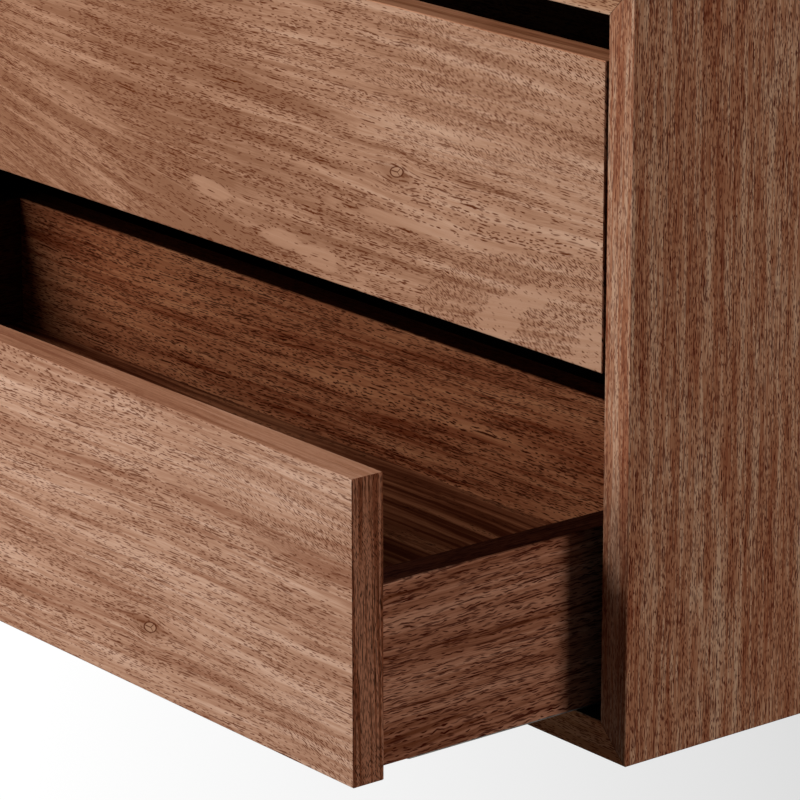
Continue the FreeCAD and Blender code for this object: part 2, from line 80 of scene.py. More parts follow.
class Value:  # a node's output that can be written in sums
    def __init__(self, sheet, socket):
        self.sheet, self.socket = sheet, socket

    def sum(self, operation, first, second):
        return self.sheet.node("ShaderNodeMath", {"operation": operation}, {0: first, 1: second})

    def __add__(self, other):
        return self.sum("ADD", self, other)

    def __radd__(self, other):
        return self.sum("ADD", other, self)

    def __sub__(self, other):
        return self.sum("SUBTRACT", self, other)

    def __rsub__(self, other):
        return self.sum("SUBTRACT", other, self)

    def __mul__(self, other):
        return self.sum("MULTIPLY", self, other)

    def __rmul__(self, other):
        return self.sum("MULTIPLY", other, self)

    def __truediv__(self, other):
        return self.sum("DIVIDE", self, other)

    def __pow__(self, other):
        return self.sum("POWER", self, other)

    def __abs__(self):
        return self.sum("ABSOLUTE", self, 0)

    def atLeast(self, other):
        return self.sum("MAXIMUM", self, other)

    def atMost(self, other):
        return self.sum("MINIMUM", self, other)


class Sheet:  # the node tree of one material, or of the world
    def __init__(self, name, owner=None):
        self.owner = owner or bpy.data.materials.new(name)
        self.owner.use_nodes = True
        self.tree = self.owner.node_tree
        self.tree.nodes.clear()
        self.parts = self.facing = None

    def node(self, kind, settings=None, sockets=None, out=0):
        made = self.tree.nodes.new(kind)
        for key, value in (settings or {}).items():
            if key == "stops":
                ramp = made.color_ramp
                while len(ramp.elements) < len(value):
                    ramp.elements.new(1)
                for element, (position, colour) in zip(ramp.elements, value):
                    element.position, element.color = position, colour
            else:
                setattr(made, key, value)
        for key, value in (sockets or {}).items():
            if isinstance(value, Value):
                self.tree.links.new(value.socket, made.inputs[key])
            else:
                made.inputs[key].default_value = value
        return Value(self, made.outputs[out])

    def place(self):  # where on the object, in millimetres, and which way the surface faces
        if self.parts is None:
            at = self.node("ShaderNodeTexCoord", out="Object")
            face = self.node("ShaderNodeTexCoord", out="Normal")
            self.parts = [self.node("ShaderNodeSeparateXYZ", None, {0: at}, axis) * mmPerMetre for axis in range(3)]
            self.facing = [self.node("ShaderNodeSeparateXYZ", None, {0: face}, axis) for axis in range(3)]
        return self.parts

    def join(self, x, y):
        return self.node("ShaderNodeCombineXYZ", None, {0: x, 1: y})

    def noise(self, x, y, detail):
        return self.node("ShaderNodeTexNoise", {"noise_dimensions": "2D"},
                         {"Vector": self.join(x, y), "Scale": 1.0, "Detail": detail}, "Fac")

    def whole(self, value):
        return self.node("ShaderNodeMath", {"operation": "FLOOR"}, {0: value})

    def part(self, value):
        return self.node("ShaderNodeMath", {"operation": "FRACT"}, {0: value})

    def exp(self, value):
        return self.node("ShaderNodeMath", {"operation": "EXPONENT"}, {0: value})

    def chances(self, x, y):  # three chances from 0 to 1 for a cell
        colour = self.node("ShaderNodeTexWhiteNoise", {"noise_dimensions": "2D"}, {"Vector": self.join(x, y)}, "Color")
        return [self.node("ShaderNodeSeparateXYZ", None, {0: colour}, axis) for axis in range(3)]

    def strokes(self, u, line, length, pitch, share, seed):  # short strokes along u, at most one in each cell
        look = strokeLook
        across = line / pitch + seed
        row = self.whole(across)
        along = u / length + self.chances(row, seed)[0] * look["slide"]
        cell = self.whole(along)
        first, second, third = self.chances(cell, row)
        reach = look["leastReach"] + first * look["moreReach"]
        # the last digits of a chance serve as one more chance
        middle = reach + self.part(first * 37) * (1 - 2 * reach)
        off = (along - cell - middle) / reach
        side = (across - row - look["leastSide"] - second * look["moreSide"]) / look["halfWidth"]
        body = 1 - self.step(off * off * look["blunt"] + side * side, *look["rim"])
        strength = look["faintest"] + self.part(second * 53) * (1 - look["faintest"])
        return body * self.step(share - third, *look["appear"]) * strength

    def step(self, value, low, high):  # 0 below low, 1 above high, smooth between
        return self.node("ShaderNodeMapRange", {"interpolation_type": "SMOOTHSTEP"},
                         {"Value": value, "From Min": low, "From Max": high})

    def faces(self, axis, soft=0.05):  # 1 where the surface looks along the axis, either way
        return self.step(abs(self.facing[axis]), 0.5 - soft, 0.5 + soft)

    def looksUp(self):
        return self.step(self.facing[alongZ], 0.6, 0.8)

    def ramp(self, value, stops):
        return self.node("ShaderNodeValToRGB", {"stops": stops}, {"Fac": value}, "Color")

    def mix(self, amount, first, second, blend="MIX"):
        made = self.tree.nodes.new("ShaderNodeMix")
        made.data_type, made.blend_type = "RGBA", blend
        for index, value in ((0, amount), (6, first), (7, second)):
            if isinstance(value, Value):
                self.tree.links.new(value.socket, made.inputs[index])
            else:
                made.inputs[index].default_value = value
        return Value(self, made.outputs[2])

    def bump(self, height, distance, strength):
        return self.node("ShaderNodeBump", None,
                         {"Height": height, "Distance": distance, "Strength": strength}, "Normal")

    def seen(self):  # 1 where the picture, a reflection or a view through glass meets this surface
        rays = [self.node("ShaderNodeLightPath", out=f"Is {kind} Ray") for kind in ("Camera", "Glossy", "Transmission")]
        return rays[0].atLeast(rays[1]).atLeast(rays[2])

    def show(self, shader, output="ShaderNodeOutputMaterial"):
        self.tree.links.new(shader.socket, self.tree.nodes.new(output).inputs["Surface"])
        return self.owner

    def finish(self, sockets):
        return self.show(self.node("ShaderNodeBsdfPrincipled", None, sockets, "BSDF"))


def hypot(a, b):
    return (a * a + b * b) ** 0.5


def oval(x, z, at, radii, lean=0):  # 0 in the middle of a leaning oval, 1 at its rim
    turn = math.radians(lean)
    dx, dz = x - at[0], z - at[1]
    along = dx * math.cos(turn) + dz * math.sin(turn)
    across = dz * math.cos(turn) - dx * math.sin(turn)
    return hypot(along / radii[0], across / radii[1])


def anyOf(masks):
    total = masks[0]
    for mask in masks[1:]:
        total = total.atLeast(mask)
    return total


def ovals(n, x, z, places, waver, soft):
    return anyOf([1 - n.step(oval(x, z, at, radii, lean) + waver * 1.4, 1 - soft, 1 + soft)
                  for at, radii, lean in places])


veneer = {
    "light": shade(199, 160, 132),
    "mid": shade(175, 131, 101),
    "dark": shade(144, 98, 70),
    "pore": shade(88, 36, 8),
    "roughness": 0.56,
    "sheen": 0.012,
    # how many pores there are, how dark, how much they crowd, and how much they keep to the streaks
    "pores": 0.6,
    "poreDepth": 1.0,
    "crowd": 1.5,
    "rows": 1.0,
    # how strongly each layer changes the tone
    "broad": 0.6,
    "bands": 0.65,
    "streaks": 0.5,
    "fibre": 0.35,
    # how far the lines wander, and a pore's usual length and thickness, in millimetres
    "drift": 20,
    "waver": 1.6,
    "wriggle": 0.5,
    "dash": 11.0,
    "thick": 1.35,
    # how long and how wide the features of each layer are, in millimetres
    "driftSize": (420, 70),
    "waverSize": (38, 14),
    "broadSize": (260, 22),
    "bandSize": (160, 6.5),
    "streakSize": (90, 1.8),
    "fibreSize": (12, 0.7),
    "wriggleSize": (5.5, 4.0),
    "crowdSize": (55, 8),
    # how many fewer pores a light band has
    "bandPores": 0.3,
    # where on the scale of tones the dark, middling and light colours lie, on a face and on a banded top edge
    "stops": (0.15, 0.5, 0.85),
    "topStops": (0.25, 0.5, 0.75),
    # what pores and light tones add to the roughness, and the relief of pores and fibres in millimetres
    "poreRough": 0.14,
    "lightRough": -0.06,
    "fibreRelief": 0.25,
    "relief": 0.05,
    "reliefStrength": 0.6,
    # how a sawn end, a place that is bare of pores and one that is dense with them differ
    "endLean": 0.4,
    "endContrast": 3.1,
    "endPores": 0.5,
    "bareShare": 0.6,
    "bareTone": 0.57,
    "bareBlend": 0.65,
    "denseShare": 0.6,
    "denseTone": 0.03,
    # leaning pores: their slope, length, thickness, how many more there are, and a seed
    "leaningPores": [(0.3, 5.6, 1.3, 0.36, 13), (0.55, 4.4, 1.3, -0.1, 43)],
    "leaningClears": 0.8,  # how much of the straight pores goes where they lean
}


def walnut(name, changes):
    look = {**veneer, **changes}
    n = Sheet(name)
    axes = n.place()
    along, across = look["along"], look["across"]
    third = 3 - along - across
    du, dv = look.get("shift", (0, 0))
    # across the grain a face and its banded edges share one coordinate, and a sawn end is banded along its height
    end, flat = n.faces(along), n.faces(third)
    u = axes[along] + (axes[across] - axes[along]) * end + du
    v = axes[across] + axes[third] + (axes[third] * look["endLean"] - axes[across]) * end + dv

    def layer(size, line):
        return n.noise(u / look[size][0], line / look[size][1], 1.0)

    # the lines of growth wander a little along the board
    waver = layer("waverSize", v) - 0.5
    line = v + (layer("driftSize", v) - 0.5) * look["drift"] + waver * look["waver"]
    if "sweep" in look:
        line = line + look["sweep"](n, axes)
    # broad bands, fine streaks and fibres along the lines make the tone
    broad, bands, streaks, fibre = [layer(size, line) for size in ("broadSize", "bandSize", "streakSize", "fibreSize")]
    tone = 0.5 + (broad - 0.5) * look["broad"] + (bands - 0.5) * look["bands"] \
        + (streaks - 0.5) * look["streaks"] + (fibre - 0.5) * look["fibre"]
    if "tilt" in look:  # the leaf darkens towards one end
        middle, before, after, slope = look["tilt"]
        tone = tone + (axes[along] - middle).atLeast(-before).atMost(after) * slope
    tone = tone + (streaks + bands - 1) * end * look["endContrast"]
    # the pores are short dark strokes that crowd along some of the lines
    wriggle = layer("wriggleSize", line) - 0.5
    poreLine = line + wriggle * look["wriggle"]
    share = look["pores"] + (layer("crowdSize", line) - 0.5) * look["crowd"] + (streaks - 0.5) * look["rows"] \
        - (bands - 0.5) * look["bandPores"] + end * look["endPores"]
    if "bare" in look:
        smooth = look["bare"](n, axes, waver)
        share = share - smooth * look["bareShare"]
        tone = tone + (look["bareTone"] - tone) * smooth * look["bareBlend"]
    if "dense" in look:
        packed = look["dense"](n, axes, waver)
        share = share + packed * look["denseShare"]
        tone = tone - packed * look["denseTone"]
    thick, dash = look["thick"], look["dash"]
    middling = n.strokes(u, poreLine, dash, thick, share, 0)
    short = n.strokes(u, poreLine + u * 0.03, dash * 0.5, thick * 0.85, share, 31)
    long = n.strokes(u, line - u * 0.01, dash * 2.6, thick * 1.2, share * 0.6 - 0.08, 67)
    pores = anyOf([middling, short, long])
    if "slanted" in look:  # where the fibres dive, the pores are short and lean over
        lean = look["slanted"](n, axes, waver)
        plain = v + waver * look["waver"] + wriggle * look["wriggle"]
        leaning = anyOf([n.strokes(u, plain + u * slope, length, width, share + more, seed)
                         for slope, length, width, more, seed in look["leaningPores"]])
        pores = pores * (1 - lean * look["leaningClears"]) + leaning * lean
    if "edgePores" in look:  # the banded edges are sawn from plain straight stock
        pores = pores * (flat.atLeast(end) * (1 - look["edgePores"]) + look["edgePores"])
    colour = n.ramp(tone, list(zip(look["stops"], (look["dark"], look["mid"], look["light"]))))
    pore = n.mix(end, look["pore"], look["endPore"]) if "endPore" in look else look["pore"]
    colour = n.mix(pores * look["poreDepth"], colour, pore)
    if "marks" in look:
        colour = look["marks"](n, axes, colour, waver)
    if "topBandAndShade" in look:  # the upper edges are banded with a darker strip, which also darkens them as painted shade
        colour = n.mix(n.looksUp(), colour, look["topBandAndShade"], "MULTIPLY")
    if "topBandAndLightTones" in look:  # or with colours of its own, which also paint the light and shade the edge gets
        colour = n.mix(n.looksUp(), colour, n.ramp(tone, list(zip(look["topStops"], look["topBandAndLightTones"]))))
    if "endShade" in look:
        colour = n.mix(end, colour, look["endShade"], "MULTIPLY")
    # the rims, the faces across the grain, are darkened: painted shade matching how they are lit
    if "rimPaintedShade" in look:
        colour = n.mix(1 - flat.atLeast(end), colour, look["rimPaintedShade"], "MULTIPLY")
    rough = look["roughness"] + pores * look["poreRough"] + (tone - 0.5) * look["lightRough"]
    if "joint" in look:  # the hairline where two boards meet
        colour = n.mix(look["joint"](n, axes), colour, jointLook["colour"])
    if "inside" in look:  # the inner faces are painted black: painted shade inside the case
        shadedInside = look["inside"](n, axes)
        colour = n.mix(shadedInside, colour, insideShadeLook["colour"])
        rough = rough + shadedInside * insideShadeLook["rougher"]
    relief = n.bump(1 - pores + fibre * look["fibreRelief"], look["relief"] * mm, look["reliefStrength"])
    return n.finish({"Base Color": colour, "Roughness": rough, "Specular IOR Level": look["sheen"], "Normal": relief})


def dress(name, material):
    data = nodes[name].data
    data.materials.clear()
    data.materials.append(material)


knotLook = {
    "halo": {"radii": (20, 6.5), "drop": 1.5, "colour": shade(118, 72, 46), "depth": 0.45},
    "eye": {"radii": (5.4, 2.7), "lean": 14, "colour": shade(176, 134, 106), "depth": 0.7},
    "line": {"colour": shade(78, 30, 8), "depth": 0.9, "ring": (0.04, 0.17), "crack": (0.12, 0.5), "fork": 0.9},
    "push": {"radii": (15, 8), "depth": 0.75},
}


def knot(n, x, z, at, colour, waver):  # a healed pin knot: a dark shadow, a pale eye, and a dark rim and crack
    halo, eye, line = knotLook["halo"], knotLook["eye"], knotLook["line"]
    around = oval(x, z, (at[0], at[1] - halo["drop"]), halo["radii"]) + waver * 1.2
    colour = n.mix((1 - n.step(around, 0.35, 1.0)) * halo["depth"], colour, halo["colour"])
    rim = oval(x, z, at, eye["radii"], eye["lean"]) + waver * 0.3
    colour = n.mix((1 - n.step(rim, 0.8, 1.0)) * eye["depth"], colour, eye["colour"])
    ring = 1 - n.step(abs(rim - 1), *line["ring"])
    # the crack forks to the right
    arms = abs(abs(z - at[1]) - (x - at[0] - 0.5).atLeast(0) * line["fork"] + waver * 0.8)
    crack = (1 - n.step(arms, *line["crack"])) * (1 - n.step(rim, 0.8, 0.95))
    return n.mix(ring.atLeast(crack) * line["depth"], colour, line["colour"])


print("walnut: the case")

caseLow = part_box("bottom_panel")[0]
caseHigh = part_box("top_panel")[1]
boardThick = (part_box("bottom_panel")[1].z - caseLow.z) / mm
caseMiddle = (caseLow + caseHigh) / 2 / mm
caseHalf = (caseHigh - caseLow) / 2 / mm
# the painted black shade starts this far behind the front edge, and off the inner faces
insideShadeLook = {"inset": 0.35, "spare": 0.3, "colour": shade(9, 7, 6), "rougher": 0.2}
jointLook = {"colour": shade(60, 34, 22), "depth": 0.75, "edge": (0.12, 0.38)}


def innerFaces(n, axes):  # faces that look into the case, behind its front edge, where black shade is painted
    reach = {axis: caseHalf[axis] - boardThick + insideShadeLook["spare"] for axis in (alongX, alongZ)}
    insideX, insideZ = [n.step(reach[axis] - abs(axes[axis] - caseMiddle[axis]), 0.0, 0.2) for axis in (alongX, alongZ)]
    behind = n.step(axes[alongY] - (caseLow.y / mm + insideShadeLook["inset"]), 0.0, 0.4)
    return insideX * insideZ * behind


def mitreLine(n, axes):  # the joint runs at 45 degrees from each corner of the case
    fromSide, fromTop = [caseHalf[axis] - abs(axes[axis] - caseMiddle[axis]) for axis in (alongX, alongZ)]
    return (1 - n.step(abs(fromSide - fromTop), *jointLook["edge"])) * jointLook["depth"]


# the case's inner faces get painted black shade, and its mitres a dark joint line
caseLook = {"inside": innerFaces, "joint": mitreLine}
sideLook = {
    **caseLook, "along": alongZ, "across": alongY, "edgePores": 0.8,
    "light": shade(212, 175, 148), "mid": shade(185, 133, 103), "dark": shade(155, 95, 68),
    # the front edge's rim tone is painted shade
    "pore": shade(84, 12, 2), "rimPaintedShade": shade(228, 220, 214),
    "pores": 0.87, "crowd": 1.0, "dash": 9.0, "thick": 1.25, "wriggle": 0.9, "drift": 8,
    "broad": 0.4, "bands": 0.8, "streaks": 1.0, "fibre": 0.7, "streakSize": (50, 1.5),
}
panelLook = {**caseLook, "along": alongX, "across": alongY, "edgePores": 1.0, "drift": 14}
# the bottom panel's front edge: painted shade on its rim
bottomEdge = {"rimPaintedShade": shade(252, 224, 202), "pores": 0.9}
for name, look in (("side_right", {**sideLook, "shift": (130, 40)}),
                   ("side_left", {**sideLook, "shift": (900, 480)}),
                   ("top_panel", {**panelLook, "shift": (10, 320)}),
                   ("bottom_panel", {**panelLook, **bottomEdge, "shift": (2100, 260)})):
    dress(name, walnut(name, look))

print("walnut: the fronts")

frontLook = {"along": alongX, "across": alongZ, "edgePores": 0.2,
             "endPore": shade(26, 3, 0), "endShade": shade(232, 198, 184)}
upperLook = {
    **frontLook, "shift": (0, 0), "tilt": (225, 190, 38, 0.0017),
    "light": shade(197, 158, 132), "mid": shade(175, 132, 105), "dark": shade(141, 98, 73),
    # the top edge's own redder band, lightened as painted light where the case top shades it
    "topBandAndLightTones": (shade(152, 90, 58), shade(188, 122, 86), shade(216, 150, 112)),
    "broad": 0.45, "bands": 0.85, "rows": 1.3,
    "knot": (224.7, 271.7),
    # an arched figure in the lower corner: its middle, and each ring's reach and flatness, from the core outwards
    "arch": {"at": (392, 198), "rings": [(32, 1.05), (77, 1.95), (106, 2.45), (150, 2.6)], "soft": 2.5,
             "waver": 8, "ripple": 16, "rippleSize": (12, 6), "outerPores": 0.6},
    # pale places with hardly a pore: where, how long and high, and how they lean
    "pale": [((160, 213), (34, 7), -3), ((66, 230), (18, 4), -5), ((250, 246), (60, 3.2), 1)],
    "leaning": [((335, 335), (125, 42), 8)],
    # how the lines bend down at each end: from where, how strongly, and how soon that fades above the lower edge
    "sag": {"left": (130, 0.0011, 60), "right": (235, 0.0020, 20), "foot": 200},
}
lowerLook = {
    **frontLook, "shift": (1300, 810),
    "light": shade(206, 167, 143), "mid": shade(182, 139, 113), "dark": shade(150, 104, 80),
    # the top edge: a darker band, set darker still as painted shade
    "topBandAndShade": shade(218, 201, 190),
    "poreDepth": 0.9, "streaks": 0.8, "thick": 1.22,
    "knot": (219.0, 56.8),
    "leaning": [((350, 148), (75, 18), 0), ((372, 32), (40, 14), -15)],
}


def knotPush(n, x, z, at):  # the grain parts round a knot
    push = knotLook["push"]
    return n.exp(oval(x, z, at, push["radii"]) ** 2 * -1) * (z - at[1]) * -push["depth"]


def upperSweep(n, axes):  # the lines sag in the middle and climb round the arch at the right
    x, z = axes[alongX], axes[alongZ]
    sag = upperLook["sag"]
    left, leftBend, leftFade = sag["left"]
    right, rightBend, rightFade = sag["right"]
    atLeft = (left - x).atLeast(0) ** 2 * leftBend * n.exp((sag["foot"] - z) / leftFade)
    atRight = (x - right).atLeast(0) ** 2 * rightBend * n.exp((sag["foot"] - z) / rightFade)
    return knotPush(n, x, z, upperLook["knot"]) - atLeft - atRight


def lowerSweep(n, axes):
    return knotPush(n, axes[alongX], axes[alongZ], lowerLook["knot"])


def frontLooks(look, sweep):
    found = []

    def rings(n, axes, waver):  # 1 inside each ring of the arch
        if not found:
            x, z = axes[alongX], axes[alongZ]
            arch = look["arch"]
            (atX, atZ), (long, high), soft = arch["at"], arch["rippleSize"], arch["soft"]
            ripple = waver * arch["waver"] + (n.noise(x / long, z / high, 1.5) - 0.5) * arch["ripple"]
            found.extend(1 - n.step(hypot(x - atX, (z - atZ) * flatness) + ripple - reach, -soft, soft)
                         for reach, flatness in arch["rings"])
        return found

    def marks(n, axes, colour, waver):
        return knot(n, axes[alongX], axes[alongZ], look["knot"], colour, waver)

    def slanted(n, axes, waver):
        lean = ovals(n, axes[alongX], axes[alongZ], look["leaning"], waver, 0.5)
        return lean.atLeast(rings(n, axes, waver)[3]) if "arch" in look else lean

    def bare(n, axes, waver):
        core, crowded, pale = rings(n, axes, waver)[:3]
        places = ovals(n, axes[alongX], axes[alongZ], look["pale"], waver * 2, 0.25)
        return anyOf([places, core, pale * (1 - crowded)])

    def dense(n, axes, waver):
        core, crowded, pale, outer = rings(n, axes, waver)
        return (crowded * (1 - core)).atLeast(outer * (1 - pale) * look["arch"]["outerPores"])

    extra = {"marks": marks, "slanted": slanted, "sweep": sweep}
    if "arch" in look:
        extra.update(bare=bare, dense=dense)
    return {**look, **extra}


dress("upper_front", walnut("upper_front", frontLooks(upperLook, upperSweep)))
dress("lower_front", walnut("lower_front", frontLooks(lowerLook, lowerSweep)))

print("walnut: the drawers")

# the boxes' top edges: a darker band, deepened as painted shade under the drawer above
boxEdge = {"topBandAndShade": shade(80, 60, 52)}
boxLook = {
    **boxEdge, "light": shade(204, 151, 125), "mid": shade(170, 115, 90), "dark": shade(118, 67, 44),
    "pore": shade(64, 9, 2), "pores": 0.85, "streaks": 0.8, "dash": 20, "thick": 1.5, "wriggle": 1.8,
}
innerLook = {
    **boxEdge, "light": shade(168, 112, 78), "mid": shade(144, 88, 58), "dark": shade(102, 48, 26),
    "pore": shade(50, 7, 0), "pores": 0.8, "streaks": 0.8, "dash": 14, "thick": 1.5, "wriggle": 1.1,
}
bottomLook = {
    "light": shade(156, 102, 70), "mid": shade(116, 66, 42), "dark": shade(70, 30, 14), "pore": shade(30, 8, 3),
    "pores": 0.05, "streaks": 1.6, "streakSize": (260, 4.4),
}
boards = {  # how each board of a box is cut: its look, the axes along and across its grain, and its place in the leaf
    "side_left": (boxLook, alongY, alongZ, (700, 700)),
    "side_right": (boxLook, alongY, alongZ, (200, 200)),
    "front": (innerLook, alongX, alongZ, (1500, 1500)),
    "back": (innerLook, alongX, alongZ, (400, 400)),
    "bottom": (bottomLook, alongX, alongY, (0, 100)),
}
paintedShadeBy = {"upper_box_back": 0.93, "lower_box_side_left": 0.8}  # two boards are darkened towards black: painted shade inside the drawers
black = (0, 0, 0, 1)

for tier, start in (("lower", 0), ("upper", 3000)):
    for board, (look, along, across, (du, dv)) in boards.items():
        name = f"{tier}_box_{board}"
        tones = {key: mixShades(look[key], black, paintedShadeBy.get(name, 0)) for key in ("light", "mid", "dark", "pore")}
        dress(name, walnut(name, {**look, **tones, "along": along, "across": across, "shift": (du + start, dv)}))

print("the back, the wall rails and the joints")


def backFront(n, axes):  # the back panel's face that looks into the case, where black shade is painted
    return n.step(-1 * n.facing[alongY], 0.4, 0.6)


backLook = {
    "along": alongX, "across": alongZ, "shift": (5200, 60), "inside": backFront, "drift": 30, "streaks": 0.9,
    "light": shade(176, 132, 100), "mid": shade(150, 106, 76), "dark": shade(120, 76, 50),
}
dress("back_panel", walnut("back_panel", backLook))

plywoodLook = {
    "ply": 1.4,
    "skin": (shade(226, 200, 160), shade(208, 178, 136), shade(188, 154, 110)),
    "core": (shade(214, 184, 142), shade(176, 138, 96)),
    "glue": shade(96, 62, 40),
    "fleck": shade(150, 108, 70),
    "fibre": shade(120, 86, 56),
    "fleckDepth": 0.4,
    "fibreDepth": 0.8,
    "glueDepth": 0.7,
    "glueLine": (0.03, 0.09),  # half of its thickness, as a share of a ply
    # how long and how high the figure, its wandering and the flecks are, in millimetres
    "figureSize": (55, 5),
    "wander": 60,
    "wanderSize": (150, 30),
    "fleckSize": (2.2, 0.35),
    "roughness": 0.62,
    "relief": 0.06,
}


def plywood(name, depth, facing):  # depth runs through the plies, and facing is 1 on the outer skins
    look = plywoodLook
    n = Sheet(name)
    x, y, z = n.place()
    through = depth(x, y, z) / look["ply"]

    def layer(size, height, detail):
        return n.noise(x / look[size][0], height / look[size][1], detail)

    # the skin: rotary-cut birch, with a wandering figure and short brown flecks
    figure = layer("figureSize", z + layer("wanderSize", z, 2.0) * look["wander"], 2.0)
    fleck = n.step(layer("fleckSize", z, 0.0), 0.70, 0.78)
    light, mid, dark = look["skin"]
    skin = n.ramp(figure, [(0.3, dark), (0.5, mid), (0.7, light)])
    skin = n.mix(fleck * look["fleckDepth"], skin, look["fleck"])
    # the sawn edge: plies by turns along and across, with a glue line between
    turn = n.node("ShaderNodeMath", {"operation": "PINGPONG"}, {0: through, 1: 1.0})
    grain = n.noise((x + z) / 0.5, y * 3, 2.0)
    edge = n.mix(n.step(turn, 0.4, 0.6), *look["core"])
    edge = n.mix((grain - 0.35) * look["fibreDepth"], edge, look["fibre"])
    glue = 1 - n.step(abs(n.part(through) - 0.5), *look["glueLine"])
    edge = n.mix(glue * look["glueDepth"], edge, look["glue"])
    onSkin = facing(n)
    relief = grain * (1 - onSkin) + figure * 0.3 + fleck * -0.4
    return n.finish({"Base Color": n.mix(onSkin, edge, skin), "Roughness": look["roughness"] + figure * 0.15,
                     "Specular IOR Level": 0.25, "Normal": n.bump(relief, look["relief"] * mm, 0.6)})


def throughSpline(x, y, z):  # a spline lies square to its mitre, at 45 degrees
    return (abs(x - caseMiddle.x) + abs(z - caseMiddle.z)) * 0.7071


for name in ("lower_wall_rail", "upper_wall_rail"):
    dress(name, plywood(name, lambda x, y, z: y, lambda n: n.faces(alongY, 0.1)))
dress("mitre_splines", plywood("mitre_splines", throughSpline, lambda n: 1 - n.faces(alongY, 0.1)))

print("the metal, nylon and rubber")

# the tones are dark, middling and light, and the sizes are along and across the marks, in millimetres
metalLayers = {"cloudSize": (9, 5), "markLength": 30, "scratchSize": (14, 0.18), "scratched": (0.72, 0.8),
               "stops": (0.35, 0.5, 0.66), "relief": 0.02}
metalLook = {
    "rolled": {"tones": (shade(92, 91, 89), shade(112, 111, 108), shade(136, 135, 130)),
               "roughness": 0.46, "lines": 0.5},
    "plated": {"tones": (shade(158, 158, 156), shade(196, 196, 190), shade(220, 219, 210)),
               "roughness": 0.26, "lines": 0.8},
    "ground": {"tones": (shade(172, 173, 176), shade(196, 197, 199), shade(222, 223, 224)),
               "roughness": 0.2, "lines": 0.3},
}
mouldedLook = {
    "nylon": {"light": shade(228, 225, 214), "dark": shade(206, 202, 190), "roughness": 0.42, "grainSize": 0.35},
    "rubber": {"light": shade(38, 37, 36), "dark": shade(20, 20, 20), "roughness": 0.72, "grainSize": 0.25},
    "cloudSize": 9,
    "relief": 0.04,
}


def metal(name, changes, run):  # run gives the distances along and across the rolling or grinding marks
    look = {**metalLayers, **changes}
    n = Sheet(name)
    along, across = run(*n.place())

    def layer(size, detail):
        return n.noise(along / size[0], across / size[1], detail)

    cloud = layer(look["cloudSize"], 3.0)
    marks = layer((look["markLength"], look["lines"]), 2.0)
    scratch = n.step(layer(look["scratchSize"], 1.0), *look["scratched"])
    colour = n.ramp(cloud * 0.6 + marks * 0.4, list(zip(look["stops"], look["tones"])))
    rough = look["roughness"] + (marks - 0.5) * 0.25 + (cloud - 0.5) * 0.15 + scratch * 0.12
    return n.finish({"Base Color": colour, "Roughness": rough, "Metallic": 1.0,
                     "Normal": n.bump(marks + scratch * -0.5, look["relief"] * mm, 0.5)})


def moulded(name, look):  # nylon or rubber with the mould's fine grain
    n = Sheet(name)
    x, y, z = n.place()
    grain = n.noise((x + z * 0.7) / look["grainSize"], (y + z * 0.4) / look["grainSize"], 2.0)
    cloud = n.noise((x - z) / mouldedLook["cloudSize"], (y + z) / mouldedLook["cloudSize"], 3.0)
    flow = n.noise((x + z) / 3, y / 24, 2.0)
    colour = n.ramp(cloud * 0.6 + flow * 0.4, [(0.35, look["dark"]), (0.65, look["light"])])
    rough = look["roughness"] + (grain - 0.5) * 0.3 + (cloud - 0.5) * 0.1
    return n.finish({"Base Color": colour, "Roughness": rough, "Specular IOR Level": 0.4,
                     "Normal": n.bump(grain, mouldedLook["relief"] * mm, 0.7)})


rolled = metal("rolledZincSteel", metalLook["rolled"], lambda x, y, z: (y, x + z))
plated = metal("brightZincScrew", metalLook["plated"], lambda x, y, z: (x + y, z + y * 0.6))
ground = metal("groundSteelRoller", metalLook["ground"], lambda x, y, z: (y + z, x))
finishes = {"runner_steel": rolled, "cage_nylon": moulded("whiteNylon", mouldedLook["nylon"]),
            "stop_rubber": moulded("blackRubber", mouldedLook["rubber"])}
for name, slot in slotOf.items():
    if slot in finishes:
        dress(name, finishes[slot])

print("screws and rollers")

screwLook = {  # lengths in millimetres, and shares of the CAD's own head and shank
    "headFrom": 0.8,
    "headShare": 0.97,
    "shankShare": 0.92,
    "headSides": 24,
    "pan": ((0.94, 0), (1.0, 0.14), (1.0, 0.42), (0.95, 0.68), (0.84, 0.88), (0.68, 1.0)),
    "recess": {"reach": 0.52, "halfWidth": 0.13, "depth": 0.62, "taper": 0.6},
    "shankSides": 12,
    "neck": 0.8,
    "pitch": 1.7,
    "threadDepth": 0.42,
    "threadShape": 0.6,
    "stepsPerTurn": 4,
    "tip": 4.0,
    "tipShare": 0.08,
}
rollerLook = {"sides": 40, "chamfer": 0.4, "dimpleShare": 0.35, "dimpleFloor": 0.3, "dimpleDepth": 0.3}
sharpAngle = 32


def looseParts(name):  # the corners of each separate solid of a node, in millimetres
    shape = bmesh.new()
    shape.from_mesh(nodes[name].data)
    bmesh.ops.remove_doubles(shape, verts=shape.verts, dist=0.001 * mm)
    found, groups = set(), []
    for start in shape.verts:
        if start in found:
            continue
        found.add(start)
        group, waiting = [], [start]
        while waiting:
            vertex = waiting.pop()
            group.append(vertex.co / mm)
            for edge in vertex.link_edges:
                other = edge.other_vert(vertex)
                if other not in found:
                    found.add(other)
                    waiting.append(other)
        groups.append(group)
    shape.free()
    return groups


# rings of a turned shape, from pairs of a radius, fixed or worked out for each turn, and a height
def spin(shape, profile, sides, close):
    rings = []
    turns = [2 * math.pi * side / sides for side in range(sides)]
    for radius, height in profile:
        reach = [radius(turn) if callable(radius) else radius for turn in turns]
        rings.append([shape.verts.new((out * math.cos(turn), out * math.sin(turn), height))
                      for out, turn in zip(reach, turns)])
    for low, high in zip(rings, rings[1:]):
        for side in range(sides):
            following = (side + 1) % sides
            shape.faces.new((low[side], low[following], high[following], high[side]))
    if close[0]:
        shape.faces.new(list(reversed(rings[0])))
    if close[1]:
        shape.faces.new(rings[-1])
    return rings


